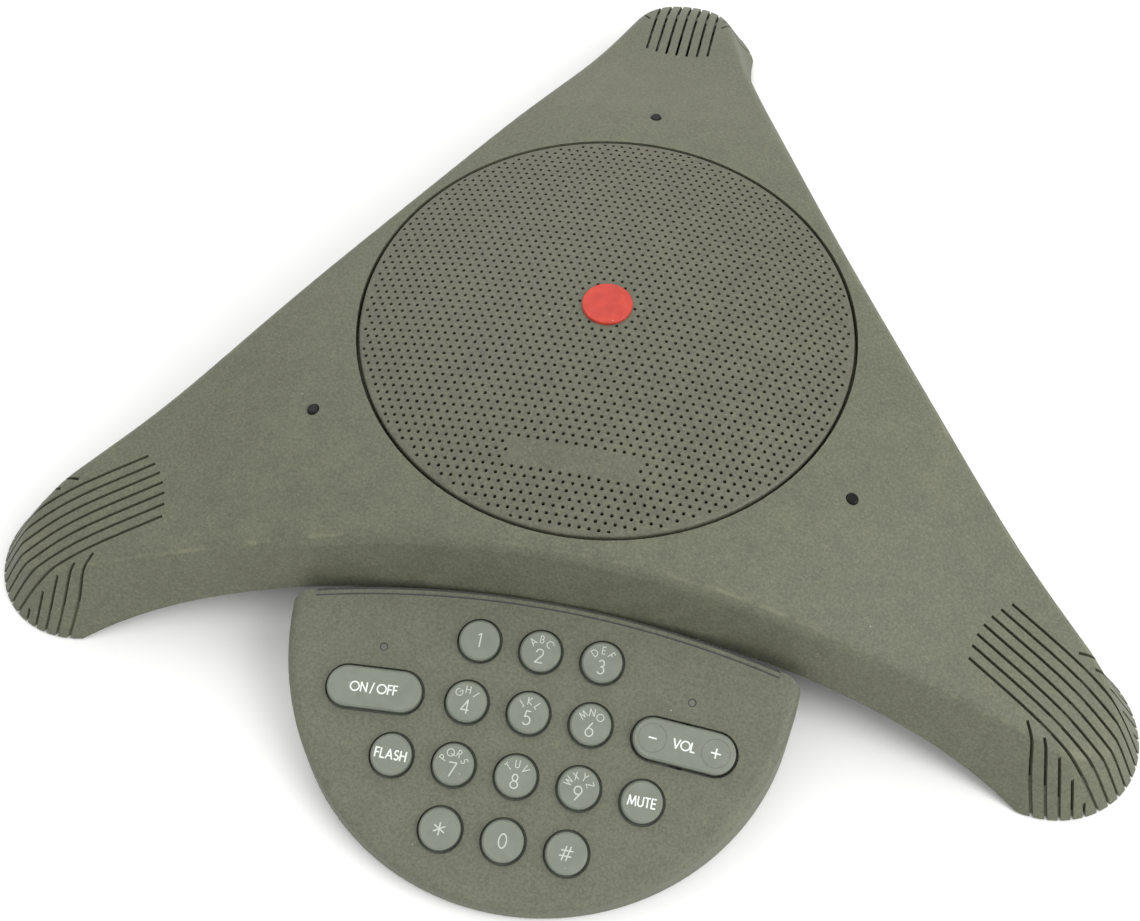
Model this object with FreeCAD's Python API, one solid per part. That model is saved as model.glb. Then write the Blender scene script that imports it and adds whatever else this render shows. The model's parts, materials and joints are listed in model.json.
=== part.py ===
import FreeCAD, Part
import math
import os

# Conference speakerphone: a three-legged console with a domed loudspeaker grille, a microphone in each leg,
# and a sloping dial pad tucked under its front arch. Millimetres, +Z up, the desk is z = 0, and the user
# sits at -Y. Everything is modelled about the loudspeaker axis, then moved so that the row's origin is
# under the box's middle.

# ---- Driving dimensions: console ----
LEG_ANGLES = {"rear": 90.0, "left": 210.0, "right": 330.0}
EDGE_Z = 0.6                # lower edge of the housing at the leg tips
WALL = 2.5
CREASE_FILLET = 5.0

# Level sections of the walls. Each is a height, then the distance out to the centre of the rounded tip, the
# radius of the concave side, and the distance out to the middle of that side. The walls lean in more towards
# the tips.
SECTIONS = [
    (-6.0, 182.0, 430.0, 98.0),
    (EDGE_Z, 181.3, 500.0, 96.6),
    (12.0, 180.5, 650.0, 94.7),
    (23.5, 171.0, 760.0, 92.6),
    (33.6, 150.0, 780.0, 90.7),
    (42.0, 128.0, 770.0, 89.2),
    (51.5, 100.0, 760.0, 87.5),
    (58.0, 82.0, 760.0, 86.4),
]
ARCH_TOP = 28.7             # height of the arched lower edge at the middle of each side
ARCH_RADIUS = 415.0
SKY = 75.0                  # above everything, for cutting solids
FAR = 300.0                 # beyond everything, for cutting solids

# Roof of the console, a surface of revolution: radius and height, from the grille's rim to the tip's edge.
RIM_RADIUS = 82.0
RIM_Z = 53.8
ROOF = [
    (RIM_RADIUS, RIM_Z),
    (98.9, 50.3),
    (150.4, 33.6),
    (186.9, 23.3),
    (199.0, 16.2),
    (206.5, 11.0),
    (214.0, 5.0),
]
ROOF_END = (228.0, -6.0)

# ---- Driving dimensions: base pan, loudspeaker, electronics ----
PAN_INSET = 16.0            # base pan stands this far inside the housing's lower edge
PAN_WALL = 2.2
PAN_Z = 5.0
PAN_FLOOR = 2.5
PAN_TOP = PAN_Z + PAN_FLOOR
PAN_RIM_Z = 44.0            # top of the pan's walls, below the baffle
FOOT_RADIUS = 11.0
FOOT_ALONG = 178.0
BOSS_ALONG = (122.0, 145.0)  # housing screws, distances out along each leg, clear of the sound slots
BOSS_RADIUS = 3.5
PAD_RADIUS = 5.0
PAD_TOP = 8.5
SCREW_RADIUS = 1.25
BORE_RADIUS = 1.3
HEAD_RADIUS = 2.9
HEAD_DEPTH = 1.8

BAFFLE_Z = 46.5
BAFFLE_THICK = 2.5
GRILLE_RADIUS = 81.2
GRILLE_RISE = 9.7
GRILLE_THICK = 1.6
BADGE_RADIUS = 8.2
BADGE_PLACE = (0.0, 0.0)
BADGE_THICK = 1.0

SPEAKER_RADIUS = 65.0
CONE_RADIUS = 48.0
VOICE_RADIUS = 13.0
MAGNET_RADIUS = 28.0
MAGNET_Z = (14.5, 26.0)
SPEAKER_SCREW_CIRCLE = 60.5

BOARD_Z = 10.0
BOARD_THICK = 1.6
BOARD_TOP = BOARD_Z + BOARD_THICK
BOARD_SCREW_CIRCLE = 62.0
LAMP_ALONG = 98.9
LAMP_RADIUS = 1.9
LAMP_TOP = 50.9
MIC_ALONG = 160.0
BOOT_RADIUS = 6.8
BOOT_TOP = 16.2
LEAD_START = 109.6          # microphone leads leave the board this far out along each leg
BOARD_OUTLINE = (82.0, 400.0, 70.0)  # tip centre, side radius, distance to the middle of a side

SLOT_WIDTH = 1.0
SLOT_PITCH = 4.0
SLOT_COUNT = 7
SLOT_DEPTH = 1.2            # of the grooves that carry each slot on down the nose
SLOT_START = 150.8
SLOT_ARC = 28.0             # the slots' inner ends lie on an arc of this radius
SLOT_END = 184.0
NOSE_SLOT = (188.5, 202.0)
SIDE_SLOT_LEAN = 36.0
SIDE_SLOT_PITCH = 6.6
SIDE_SLOT_COUNT = 5
SIDE_SLOT_START = (177.2, 14.6)
SIDE_SLOT_THROUGH = 11.5    # length of the first side slot's cut-through part; each next one is shorter
SIDE_SLOT_STEP = 1.9

JACK_AT = (-28.0, 134.0, 7.7)
JACK_SIZE = (16.0, 13.5, 11.5)
SOCKET_SIZE = (12.6, 9.8, 6.8)

# ---- Driving dimensions: dial pad ----
PAD_ARC_CENTRE = -101.5
PAD_ARC_RADIUS = 79.5
PAD_REACH = PAD_ARC_RADIUS - PAD_ARC_CENTRE
PAD_BACK_Y = -92.2
PAD_CORNER = (75.4, -101.0)
PAD_SIDE_Y = -104.0
PAD_FLOOR_Z = 1.2
PAD_SKIN = 2.0
PAD_FILLET = 3.4
TILT = math.radians(15.0)
PANEL_CENTRE = (0.0, -134.9, 18.7)   # middle of the key grid, on the panel's surface
KEY_PITCH = 19.05
KEY_RADIUS = 6.15
KEY_GAP = 0.9
KEY_TOP = 2.3
KEY_BEVEL = 0.55
FLANGE = (-3.2, -2.3)
FLANGE_EXTRA = 1.25
CAPSULE_WIDTH = 12.3
ON_OFF_LENGTH = 29.1
VOLUME_LENGTH = 31.1
CAPSULE_PLACE = (47.6, 8.35)
CAPSULE_CANT = 3.5
OUTER_KEY_PLACE = (38.1, -10.05)
ROCKER_AXIS_W = -2.8
ROCKER_PIN_RADIUS = 0.7
ROCKER_BORE_RADIUS = 0.75
ROCKER_LUG_RADIUS = 1.35
PILOT_PLACE = (47.85, 21.7)
PILOT_RADIUS = 1.25
MEMBRANE = (-5.4, -4.6)
DOME_RADIUS = 3.0
DOME_TOP = -4.45
PAD_BOARD = (-6.6, -5.4)
PAD_BOARD_FRONT_V = -35.0
PAD_BOSSES = [(-70.0, -112.0), (70.0, -112.0), (0.0, -174.3)]
TONGUE_X = 30.0
TONGUE_BACK_Y = -56.0
TONGUE_SCREWS = [(-20.0, -64.0), (20.0, -64.0)]
RIBBON_WIDTH = 14.0
RIBBON_THICK = 0.6

DIGITS = [["1", "2", "3"], ["4", "5", "6"], ["7", "8", "9"], ["star", "0", "hash"]]


# ---- Helpers ----
def vec(x, y, z=0.0):
    return FreeCAD.Vector(x, y, z)


def polar(radius, angle, z=0.0):
    a = math.radians(angle)
    return vec(radius * math.cos(a), radius * math.sin(a), z)


def leg_point(angle, along, across, z=0.0):
    """A point given along a leg's axis and across it."""
    return polar(along, angle, z) + polar(across, angle + 90.0)


def cylinder(x, y, z0, z1, radius):
    return Part.makeCylinder(radius, z1 - z0, vec(x, y, z0))


def box(x0, y0, z0, x1, y1, z1):
    return Part.makeBox(x1 - x0, y1 - y0, z1 - z0, vec(x0, y0, z0))


def ring(inner, outer, z0, z1):
    return cylinder(0, 0, z0, z1, outer).cut(cylinder(0, 0, z0, z1, inner))


def revolve(points):
    """A solid of revolution about Z, from a closed polygon of radius and height."""
    wire = Part.makePolygon([vec(r, 0, z) for r, z in points + points[:1]])
    return Part.Face(wire).revolve(vec(0, 0), vec(0, 0, 1), 360)


def group(shapes):
    return Part.makeCompound(shapes)


def fuse(shapes):
    whole = shapes[0]
    for shape in shapes[1:]:
        whole = whole.fuse(shape)
    return whole.removeSplitter()


# ---- Console outline ----
def tip_radius(tip_centre, side_radius, apothem):
    """Radius of the tip that is tangent to the concave sides on both hands."""
    half = tip_centre * math.cos(math.radians(60))
    rise = tip_centre * math.sin(math.radians(60))
    return math.hypot(side_radius + apothem - half, rise) - side_radius


def star_wire(tip_centre, side_radius, apothem, z):
    """Three round tips joined by concave arcs that are tangent to them."""
    side_distance = side_radius + apothem
    tip = tip_radius(tip_centre, side_radius, apothem)
    share = side_radius / (side_radius + tip)
    edges = []
    for angle in LEG_ANGLES.values():
        centre = polar(tip_centre, angle, z)
        before = polar(side_distance, angle - 60, z)
        after = polar(side_distance, angle + 60, z)
        start = before + (centre - before) * share
        end = after + (centre - after) * share
        next_centre = polar(tip_centre, angle + 120, z)
        next_start = after + (next_centre - after) * share
        edges.append(Part.Arc(start, polar(tip_centre + tip, angle, z), end).toShape())
        edges.append(Part.Arc(end, polar(apothem, angle + 60, z), next_start).toShape())
    return Part.Wire(edges)


def star_walls(inset):
    """The console's outline as a tall solid, set in by a distance."""
    wires = [star_wire(centre, side + inset, apothem - inset, z) for z, centre, side, apothem in SECTIONS]
    return Part.makeLoft(wires, True, False)


def roof_curve(drop):
    curve = Part.BSplineCurve()
    curve.interpolate([vec(r, 0, z - drop) for r, z in ROOF + [ROOF_END]])
    return curve.toShape()


def roof_dome(drop):
    """Everything under the roof's surface of revolution, lowered by a distance."""
    low = SECTIONS[0][0] - 10
    end = ROOF_END[0]
    top = Part.LineSegment(vec(0, 0, RIM_Z - drop), vec(RIM_RADIUS, 0, RIM_Z - drop)).toShape()
    down = Part.LineSegment(vec(end, 0, ROOF_END[1] - drop), vec(end, 0, low)).toShape()
    floor = Part.LineSegment(vec(end, 0, low), vec(0, 0, low)).toShape()
    axis = Part.LineSegment(vec(0, 0, low), vec(0, 0, RIM_Z - drop)).toShape()
    face = Part.Face(Part.Wire([top, roof_curve(drop), down, floor, axis]))
    return face.revolve(vec(0, 0), vec(0, 0, 1), 360)


def star_body(inset, drop, z0):
    body = star_walls(inset).common(roof_dome(drop))
    if z0 > SECTIONS[0][0]:
        body = body.cut(box(-FAR, -FAR, -50, FAR, FAR, z0))
    return body


def arch_cutter(angle):
    """Space under the arched lower edge of one side."""
    block = Part.makeBox(200, 300, ARCH_TOP + 40, vec(50, -150, -40))
    drum = Part.makeCylinder(ARCH_RADIUS, 200, vec(50, 0, ARCH_TOP - ARCH_RADIUS), vec(1, 0, 0))
    cutter = block.common(drum)
    cutter.rotate(vec(0, 0), vec(0, 0, 1), angle)
    return cutter


# ---- Console housing ----
def slot_slab(angle, start, across, lean, near, far):
    """A thin upright slab along one slot's line, between two distances from the slot's start."""
    slab = box(near, -SLOT_WIDTH / 2, 0, far, SLOT_WIDTH / 2, SKY)
    slab.rotate(vec(0, 0), vec(0, 0, 1), lean)
    slab.translate(vec(start, across))
    slab.rotate(vec(0, 0), vec(0, 0, 1), angle)
    return slab


def slot_lines():
    """Each sound slot of a leg: where it starts, its lean, and the ends of its cut-through parts."""
    lines = []
    for i in range(SLOT_COUNT):
        across = (i - (SLOT_COUNT - 1) / 2) * SLOT_PITCH
        start = SLOT_START + SLOT_ARC - math.sqrt(SLOT_ARC ** 2 - across ** 2)
        nose_end = NOSE_SLOT[1] - abs(across) * 0.3
        nose_start = NOSE_SLOT[0] - abs(across) * 0.3
        top_end = SLOT_END - abs(across) * 0.3
        parts = [(0, top_end - start), (nose_start - start, nose_end - start)]
        lines.append((start, across, 0.0, parts))
    for i in range(SIDE_SLOT_COUNT):
        along = SIDE_SLOT_START[0] + i * SIDE_SLOT_PITCH
        for side in (1, -1):
            through = SIDE_SLOT_THROUGH - SIDE_SLOT_STEP * i
            lines.append((along, side * SIDE_SLOT_START[1], side * SIDE_SLOT_LEAN, [(0, through)]))
    return lines


def slot_cutters():
    """Every leg's slots, and the shallow grooves that run on from them to the lower edge."""
    core = star_body(SLOT_DEPTH, SLOT_DEPTH, SECTIONS[0][0])
    cutters = []
    for angle in LEG_ANGLES.values():
        grooves = []
        for start, across, lean, parts in slot_lines():
            grooves.append(slot_slab(angle, start, across, lean, 0, 70))
            cutters.extend([slot_slab(angle, start, across, lean, near, far) for near, far in parts])
        cutters.append(group(grooves).cut(core))
    return cutters


def housing_bosses():
    """Screw posts that hang from the roof to the base pan, with their pilot bores."""
    posts = []
    for angle in LEG_ANGLES.values():
        for along in BOSS_ALONG:
            centre = leg_point(angle, along, 0)
            post = cylinder(centre.x, centre.y, PAD_TOP, SKY, BOSS_RADIUS)
            posts.append(post.cut(cylinder(centre.x, centre.y, PAD_TOP, PAD_TOP + 12, BORE_RADIUS)))
    return posts


def lies_on(edge, surface):
    """True if an edge's inner points lie on a surface."""
    span = edge.LastParameter - edge.FirstParameter
    for share in (0.25, 0.5, 0.75):
        point = Part.Vertex(edge.valueAt(edge.FirstParameter + share * span))
        if point.distToShape(surface)[0] > 0.02:
            return False
    return True


def make_outer_body():
    """The housing's outer form, with the crease between roof and walls rounded off."""
    outer = star_body(0, 0, SECTIONS[0][0])
    roof = roof_curve(0).revolve(vec(0, 0), vec(0, 0, 1), 360)
    crease = [e for e in outer.Edges if e.BoundBox.ZMax > EDGE_Z and lies_on(e, roof)]
    crease = [e for e in crease if e.BoundBox.DiagonalLength > 3 and not is_rim(e)]
    outer = outer.makeFillet(CREASE_FILLET, crease)
    return outer.cut(box(-FAR, -FAR, -50, FAR, FAR, EDGE_Z))


def is_rim(edge):
    return edge.BoundBox.ZMin > RIM_Z - 0.1


def make_top_housing():
    outer = make_outer_body()
    shell = outer.cut(star_body(WALL, WALL, SECTIONS[0][0]))
    roof = outer.common(star_body(1.0, 1.0, EDGE_Z))
    for post in housing_bosses():
        shell = shell.fuse(post.common(roof))
    for side in (30.0, 150.0, 270.0):
        shell = shell.cut(arch_cutter(side))
    shell = shell.cut(cylinder(0, 0, BAFFLE_Z, SKY, RIM_RADIUS - 0.1))
    shell = shell.fuse(ring(RIM_RADIUS - 0.1, RIM_RADIUS + WALL, BAFFLE_Z, RIM_Z - 1.5))
    baffle = ring(SPEAKER_RADIUS - 9, RIM_RADIUS + 1, BAFFLE_Z, BAFFLE_Z + BAFFLE_THICK)
    shell = shell.fuse(baffle)
    cutters = speaker_screw_shafts(1.5)
    for angle in LEG_ANGLES.values():
        lamp = leg_point(angle, LAMP_ALONG, 0)
        cutters.append(cylinder(lamp.x, lamp.y, 40, SKY, LAMP_RADIUS + 0.1))
    shell = shell.cut(group(cutters))
    for cutter in slot_cutters():
        shell = shell.cut(cutter)
    return shell


# ---- Base pan and what stands on it ----
def make_base_pan():
    pan = star_body(PAN_INSET, WALL + 0.2, PAN_Z)
    pan = pan.cut(star_body(PAN_INSET + PAN_WALL, -5, PAN_TOP))
    pan = pan.cut(box(-FAR, -FAR, PAN_RIM_Z, FAR, FAR, SKY))
    additions = []
    cuts = []
    for angle in LEG_ANGLES.values():
        for along in BOSS_ALONG:
            centre = leg_point(angle, along, 0)
            additions.append(cylinder(centre.x, centre.y, PAN_TOP, PAD_TOP, PAD_RADIUS))
            cuts.append(cylinder(centre.x, centre.y, PAN_Z, PAN_Z + HEAD_DEPTH, HEAD_RADIUS + 0.2))
            cuts.append(cylinder(centre.x, centre.y, PAN_Z, PAD_TOP, SCREW_RADIUS + 0.1))
        stand = polar(BOARD_SCREW_CIRCLE, angle + 60)
        additions.append(cylinder(stand.x, stand.y, PAN_TOP, BOARD_Z, 3.0))
        cuts.append(cylinder(stand.x, stand.y, PAN_Z + 1, BOARD_Z, 1.1))
    for x, y in TONGUE_SCREWS:
        additions.append(cylinder(x, y, PAN_TOP, BOARD_Z - 0.4, BOSS_RADIUS))
        cuts.append(cylinder(x, y, PAN_Z, BOARD_Z - 0.4, 1.45))
    pan = fuse([pan] + additions)
    cuts.append(jack_block(0.2))
    half = RIBBON_WIDTH / 2 + 1
    cuts.append(box(-half, -95, BOARD_TOP + 1, half, -70, BOARD_TOP + 6))
    return pan.cut(group(cuts))


def jack_block(gap):
    x, y, z = JACK_AT
    length, width, height = JACK_SIZE
    return box(x - gap, y - width / 2 - gap, z - gap * 0.5, x + length, y + width / 2 + gap, z + height + gap)


def make_line_jack():
    x, y, z = JACK_AT
    depth, width, height = SOCKET_SIZE
    socket = box(x - 1, y - width / 2, z + 2, x + depth, y + width / 2, z + 2 + height)
    latch = box(x - 1, y - 1.6, z + 0.8, x + depth, y + 1.6, z + 2)
    return jack_block(0).cut(socket).cut(latch)


def make_jack_contacts():
    x, y, z = JACK_AT
    height = SOCKET_SIZE[2]
    wires = []
    for i in range(4):
        middle = y + (i - 1.5) * 1.02
        top = z + 2 + height
        wires.append(box(x + 5, middle - 0.25, top - 1.2, x + SOCKET_SIZE[0], middle + 0.25, top))
    return group(wires)


def make_feet(angle):
    centre = leg_point(angle, FOOT_ALONG, 0)
    foot = cylinder(centre.x, centre.y, 0, PAN_Z, FOOT_RADIUS)
    return foot.makeFillet(0.8, [e for e in foot.Edges if e.BoundBox.ZMax < 0.1])


def make_housing_screws():
    screws = []
    for angle in LEG_ANGLES.values():
        for along in BOSS_ALONG:
            centre = leg_point(angle, along, 0)
            head = cylinder(centre.x, centre.y, PAN_Z + 0.2, PAN_Z + HEAD_DEPTH, HEAD_RADIUS)
            shank = cylinder(centre.x, centre.y, PAN_Z + HEAD_DEPTH, PAN_Z + 14, SCREW_RADIUS)
            screws.append(head.fuse(shank).cut(cross_recess(centre.x, centre.y, PAN_Z + 0.2)))
    return group(screws)


def cross_recess(x, y, z):
    """The Phillips cross in the underside of a screw head."""
    bar = box(x - 1.5, y - 0.3, z, x + 1.5, y + 0.3, z + 0.8)
    other = box(x - 0.3, y - 1.5, z, x + 0.3, y + 1.5, z + 0.8)
    return bar.fuse(other)


# ---- Loudspeaker and grille ----
def dome_z(radius, drop=0.0):
    return RIM_Z + GRILLE_RISE * (1 - (radius / RIM_RADIUS) ** 2) - drop


def dome_solid(radius, drop, z0):
    """Everything under the grille's crown, out to a radius."""
    edge = dome_z(radius, drop)
    middle = vec(radius / 2, 0, dome_z(radius / 2, drop))
    arc = Part.Arc(vec(0, 0, dome_z(0, drop)), middle, vec(radius, 0, edge))
    lines = [
        Part.LineSegment(vec(radius, 0, edge), vec(radius, 0, z0)).toShape(),
        Part.LineSegment(vec(radius, 0, z0), vec(0, 0, z0)).toShape(),
        Part.LineSegment(vec(0, 0, z0), vec(0, 0, dome_z(0, drop))).toShape(),
    ]
    face = Part.Face(Part.Wire([arc.toShape()] + lines))
    return face.revolve(vec(0, 0), vec(0, 0, 1), 360)


def make_grille():
    seat = BAFFLE_Z + BAFFLE_THICK
    outer = dome_solid(GRILLE_RADIUS, 0, seat)
    outer = outer.makeFillet(1.0, [e for e in outer.Edges if e.Length > 400 and e.BoundBox.ZMin > seat + 1])
    hollow = dome_solid(GRILLE_RADIUS - GRILLE_THICK, GRILLE_THICK, seat - 1)
    return outer.cut(hollow)


def make_grille_cloth():
    skirt = BAFFLE_Z + BAFFLE_THICK + 0.6
    outer = dome_solid(GRILLE_RADIUS - GRILLE_THICK - 0.3, GRILLE_THICK + 0.3, skirt)
    return outer.cut(dome_solid(GRILLE_RADIUS - GRILLE_THICK - 0.9, GRILLE_THICK + 0.9, skirt - 1))


def make_badge():
    x, y = BADGE_PLACE
    post = cylinder(x, y, RIM_Z, SKY, BADGE_RADIUS)
    raised = dome_solid(GRILLE_RADIUS, -BADGE_THICK, RIM_Z - 1)
    badge = post.common(raised).cut(dome_solid(GRILLE_RADIUS, 0, RIM_Z - 2))
    return badge.makeChamfer(0.3, [e for e in badge.Edges if e.Length > 40 and e.BoundBox.ZMax > dome_z(8)])


def speaker_screw_shafts(radius):
    shafts = []
    for i in range(4):
        centre = polar(SPEAKER_SCREW_CIRCLE, 45 + 90 * i)
        shafts.append(cylinder(centre.x, centre.y, BAFFLE_Z - 3.9, BAFFLE_Z + 2.1, radius))
    return shafts


def make_speaker_frame():
    top = BAFFLE_Z - 1.2
    flange = ring(SPEAKER_RADIUS - 11, SPEAKER_RADIUS, top - 1.2, top)
    basket = revolve([(54, top - 1.2), (30, 27.2), (30, 26), (31.5, 26), (55.5, top - 1.2)])
    plate = ring(15, 31.5, 26, 27.2)
    frame = fuse([flange, basket, plate])
    windows = []
    for i in range(4):
        window = box(33, -14, 28, 50, 14, 40)
        window.rotate(vec(0, 0), vec(0, 0, 1), 90 * i)
        windows.append(window)
    return frame.cut(group(windows + speaker_screw_shafts(1.5)))


def make_speaker_gasket():
    gasket = ring(SPEAKER_RADIUS - 9, SPEAKER_RADIUS, BAFFLE_Z - 1.2, BAFFLE_Z)
    return gasket.cut(group(speaker_screw_shafts(1.5)))


def make_speaker_cone():
    return revolve([(VOICE_RADIUS, 31), (CONE_RADIUS, 43.4), (CONE_RADIUS, 44.0), (VOICE_RADIUS, 31.8)])


def make_speaker_surround():
    half_roll = ring_torus(51.0, 3.0, 44.1).cut(ring_torus(51.0, 2.5, 44.1))
    return half_roll.common(cylinder(0, 0, 44.1, 60, 60))


def ring_torus(major, minor, z):
    return Part.makeTorus(major, minor, vec(0, 0, z))


def make_speaker_dust_cap():
    cap = Part.makeSphere(20, vec(0, 0, 17.0))
    cap = cap.cut(Part.makeSphere(19.5, vec(0, 0, 17.0)))
    return cap.common(cylinder(0, 0, 32.2, 60, VOICE_RADIUS))


def make_voice_coil():
    return ring(VOICE_RADIUS - 0.6, VOICE_RADIUS - 0.1, 18, 31)


def make_speaker_magnet():
    low, high = MAGNET_Z
    magnet = cylinder(0, 0, low, high, MAGNET_RADIUS)
    magnet = magnet.cut(ring(VOICE_RADIUS - 1.2, VOICE_RADIUS + 0.6, low + 3, high))
    return magnet.makeChamfer(0.8, [e for e in magnet.Edges if e.BoundBox.XMax > MAGNET_RADIUS - 0.1])


def make_speaker_screws():
    screws = []
    for i in range(4):
        centre = polar(SPEAKER_SCREW_CIRCLE, 45 + 90 * i)
        head = cylinder(centre.x, centre.y, BAFFLE_Z - 3.9, BAFFLE_Z - 2.4, 2.6)
        shank = cylinder(centre.x, centre.y, BAFFLE_Z - 2.4, BAFFLE_Z + 2.0, 1.4)
        screws.append(head.fuse(shank).cut(cross_recess(centre.x, centre.y, BAFFLE_Z - 3.9)))
    return group(screws)


# ---- Electronics ----
def make_main_board():
    outline = Part.Face(star_wire(*BOARD_OUTLINE, BOARD_Z))
    board = outline.extrude(vec(0, 0, BOARD_THICK))
    holes = []
    for angle in LEG_ANGLES.values():
        stand = polar(BOARD_SCREW_CIRCLE, angle + 60)
        holes.append(cylinder(stand.x, stand.y, BOARD_Z, BOARD_TOP, 1.2))
    return board.cut(group(holes))


def make_board_screws():
    screws = []
    for angle in LEG_ANGLES.values():
        stand = polar(BOARD_SCREW_CIRCLE, angle + 60)
        head = cylinder(stand.x, stand.y, BOARD_TOP, BOARD_TOP + 1.6, 2.4)
        screws.append(head.fuse(cylinder(stand.x, stand.y, BOARD_TOP - 5, BOARD_TOP, 1.05)))
    return group(screws)


def make_processor_chips():
    chips = [(-42, 14, 20, 20), (-14, -48, 14, 10), (16, 46, 18, 12)]
    top = BOARD_TOP + 2.2
    return group([box(x - w / 2, y - d / 2, BOARD_TOP, x + w / 2, y + d / 2, top) for x, y, w, d in chips])


def make_capacitors():
    places = [(44, 10, 5.0, 12.0), (44, 24, 5.0, 12.0), (-40, -22, 4.0, 10.0)]
    places += [(-30, 40, 4.0, 10.0), (0, 60, 3.2, 8.0)]
    return group([cylinder(x, y, BOARD_TOP, BOARD_TOP + h, r) for x, y, r, h in places])


def make_line_transformer():
    core = box(30, -46, BOARD_TOP + 2, 48, -30, BOARD_TOP + 14)
    bobbin = box(28.5, -43, BOARD_TOP, 49.5, -33, BOARD_TOP + 12)
    return core.fuse(bobbin)


def make_status_leds():
    leds = []
    for angle in LEG_ANGLES.values():
        led = box(-1.6, -1.6, BOARD_TOP, 1.6, 1.6, BOARD_TOP + 1.5)
        led.translate(leg_point(angle, LAMP_ALONG, 0))
        leds.append(led)
    return group(leds)


def make_light_pipe(angle):
    centre = leg_point(angle, LAMP_ALONG, 0)
    rod = cylinder(centre.x, centre.y, BOARD_TOP + 2, LAMP_TOP, LAMP_RADIUS)
    return rod.makeFillet(0.6, [e for e in rod.Edges if e.BoundBox.ZMin > LAMP_TOP - 0.1])


def make_microphone(angle):
    centre = leg_point(angle, MIC_ALONG, 0)
    capsule = cylinder(centre.x, centre.y, 9.5, 15.0, 4.8)
    return capsule.cut(cylinder(centre.x, centre.y, 14.6, 15.0, 1.2))


def make_microphone_boots():
    boots = []
    for angle in LEG_ANGLES.values():
        centre = leg_point(angle, MIC_ALONG, 0)
        boot = cylinder(centre.x, centre.y, PAN_TOP, BOOT_TOP, BOOT_RADIUS)
        boot = boot.cut(cylinder(centre.x, centre.y, 9.5, 15.0, 4.8))
        boots.append(boot.cut(cylinder(centre.x, centre.y, 15.0, BOOT_TOP, 3.4)))
    return group(boots)


def make_microphone_leads():
    leads = []
    for angle in LEG_ANGLES.values():
        start = vec(LEAD_START, 5.6, BOARD_TOP + 0.8)
        lead = Part.makeCylinder(0.8, MIC_ALONG - LEAD_START, start, vec(1, 0, 0))
        lead = lead.cut(cylinder(MIC_ALONG, 0, PAN_TOP, BOOT_TOP, BOOT_RADIUS))
        lead.rotate(vec(0, 0), vec(0, 0, 1), angle)
        leads.append(lead)
    return group(leads)


# ---- Dial pad ----
def panel_point(u, v, w):
    """A point in the sloping panel's own frame: u along X, v up the slope, w out of the panel."""
    x, y, z = PANEL_CENTRE
    c = math.cos(TILT)
    s = math.sin(TILT)
    return vec(x + u, y + v * c - w * s, z + v * s + w * c)


def onto_panel(shape, u=0.0, v=0.0, turn=0.0):
    """Moves a shape built about the origin onto the panel, with its Z along the panel's normal."""
    shape.rotate(vec(0, 0), vec(0, 0, 1), turn)
    shape.translate(vec(u, v))
    shape.rotate(vec(0, 0), vec(1, 0, 0), math.degrees(TILT))
    shape.translate(vec(*PANEL_CENTRE))
    return shape


def pad_prism(inset, z0, z1):
    """The dial pad's D-shaped outline as an upright solid."""
    radius = PAD_ARC_RADIUS - inset
    side_y = PAD_SIDE_Y - inset * 0.5
    side_x = math.sqrt(radius ** 2 - (side_y - PAD_ARC_CENTRE) ** 2)
    corner_x = PAD_CORNER[0] - inset * 0.6
    corner_y = PAD_CORNER[1] - inset
    back_y = PAD_BACK_Y - inset
    front = Part.Arc(vec(-side_x, side_y, z0), vec(0, PAD_ARC_CENTRE - radius, z0), vec(side_x, side_y, z0))
    back = Part.Arc(vec(corner_x, corner_y, z0), vec(0, back_y, z0), vec(-corner_x, corner_y, z0))
    right = Part.LineSegment(vec(side_x, side_y, z0), vec(corner_x, corner_y, z0))
    left = Part.LineSegment(vec(-corner_x, corner_y, z0), vec(-side_x, side_y, z0))
    wire = Part.Wire([front.toShape(), right.toShape(), back.toShape(), left.toShape()])
    return Part.Face(wire).extrude(vec(0, 0, z1 - z0))


def panel_slab(w0, w1):
    """An endless layer parallel to the panel, between two distances from its surface."""
    return onto_panel(box(-120, -120, w0, 120, 120, w1))


def capsule(length, width, w0, w1):
    half = (length - width) / 2
    body = box(-half, -width / 2, w0, half, width / 2, w1)
    ends = [cylinder(x, 0, w0, w1, width / 2) for x in (-half, half)]
    return fuse([body] + ends)


def capsule_key(length, flange):
    body = capsule(length, CAPSULE_WIDTH, FLANGE[1] if flange else -2.2, KEY_TOP)
    body = body.makeChamfer(KEY_BEVEL, [e for e in body.Edges if e.BoundBox.ZMin > KEY_TOP - 0.05])
    if flange:
        skirt = capsule(length + 2 * FLANGE_EXTRA, CAPSULE_WIDTH + 2 * FLANGE_EXTRA, *FLANGE)
        body = fuse([body, skirt])
    return body


def make_round_key(u, v):
    body = cylinder(0, 0, FLANGE[1], KEY_TOP, KEY_RADIUS)
    body = body.makeChamfer(KEY_BEVEL, [e for e in body.Edges if e.BoundBox.ZMin > KEY_TOP - 0.05])
    skirt = cylinder(0, 0, FLANGE[0], FLANGE[1], KEY_RADIUS + FLANGE_EXTRA)
    return onto_panel(fuse([body, skirt]), u, v)


def make_on_off_key():
    return onto_panel(capsule_key(ON_OFF_LENGTH, True), -CAPSULE_PLACE[0], CAPSULE_PLACE[1], CAPSULE_CANT)


def make_volume_rocker():
    body = capsule_key(VOLUME_LENGTH, False)
    lug = Part.makeCylinder(ROCKER_LUG_RADIUS, 12.4, vec(0, -6.2, ROCKER_AXIS_W), vec(0, 1, 0))
    bore = Part.makeCylinder(ROCKER_BORE_RADIUS, 14, vec(0, -7, ROCKER_AXIS_W), vec(0, 1, 0))
    rocker = fuse([body, lug]).cut(bore)
    return onto_panel(rocker, CAPSULE_PLACE[0], CAPSULE_PLACE[1], -CAPSULE_CANT)


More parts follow.
